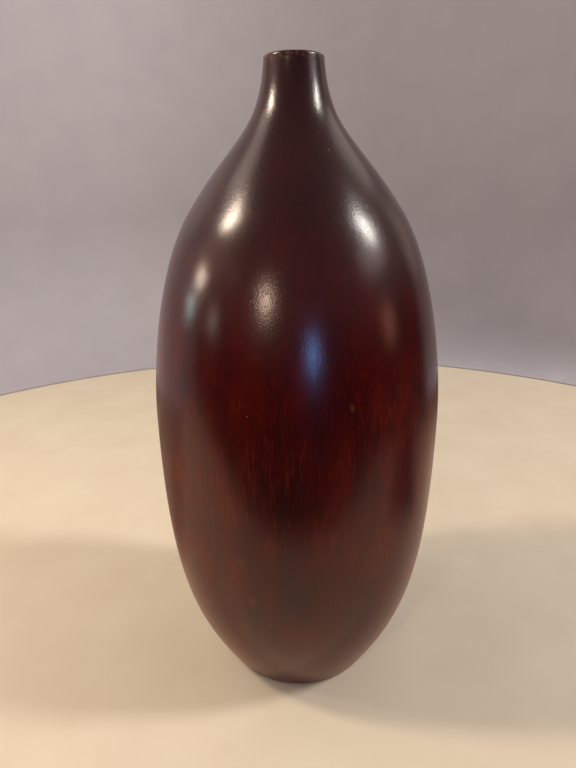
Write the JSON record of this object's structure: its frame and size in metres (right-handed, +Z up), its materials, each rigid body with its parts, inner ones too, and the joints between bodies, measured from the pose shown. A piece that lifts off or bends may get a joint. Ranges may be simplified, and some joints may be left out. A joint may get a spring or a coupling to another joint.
{
  "type": "wooden bottle vase",
  "caption": "Tall turned wooden bottle vase with a narrow neck, dark red lacquer and a lift-out glass tube for water.",
  "frame": {"origin": "on the floor, under the middle of the foot", "axes": "+Z up along the turning axis, -Y towards the pictured front"},
  "size_m": [0.176, 0.176, 0.38],
  "materials": {
    "lacquered_wood": "dark red stain under glossy lacquer",
    "bare_wood": "sanded, unfinished",
    "black_felt": "pressed felt",
    "black_rubber": "matt",
    "clear_glass": "clear, polished"
  },
  "bodies": {
    "vase": {"lower_body": "lacquered_wood", "upper_body": "lacquered_wood", "foot_plug": "bare_wood", "felt_pad": "black_felt", "seat_ring": "black_rubber"},
    "liner": {"glass_liner": "clear_glass"}
  },
  "joints": [
    {"name": "liner_lift", "type": "slide", "parent": "vase", "child": "liner", "axis": [0, 0, 1], "range_m": [0, 0.155]}
  ]
}
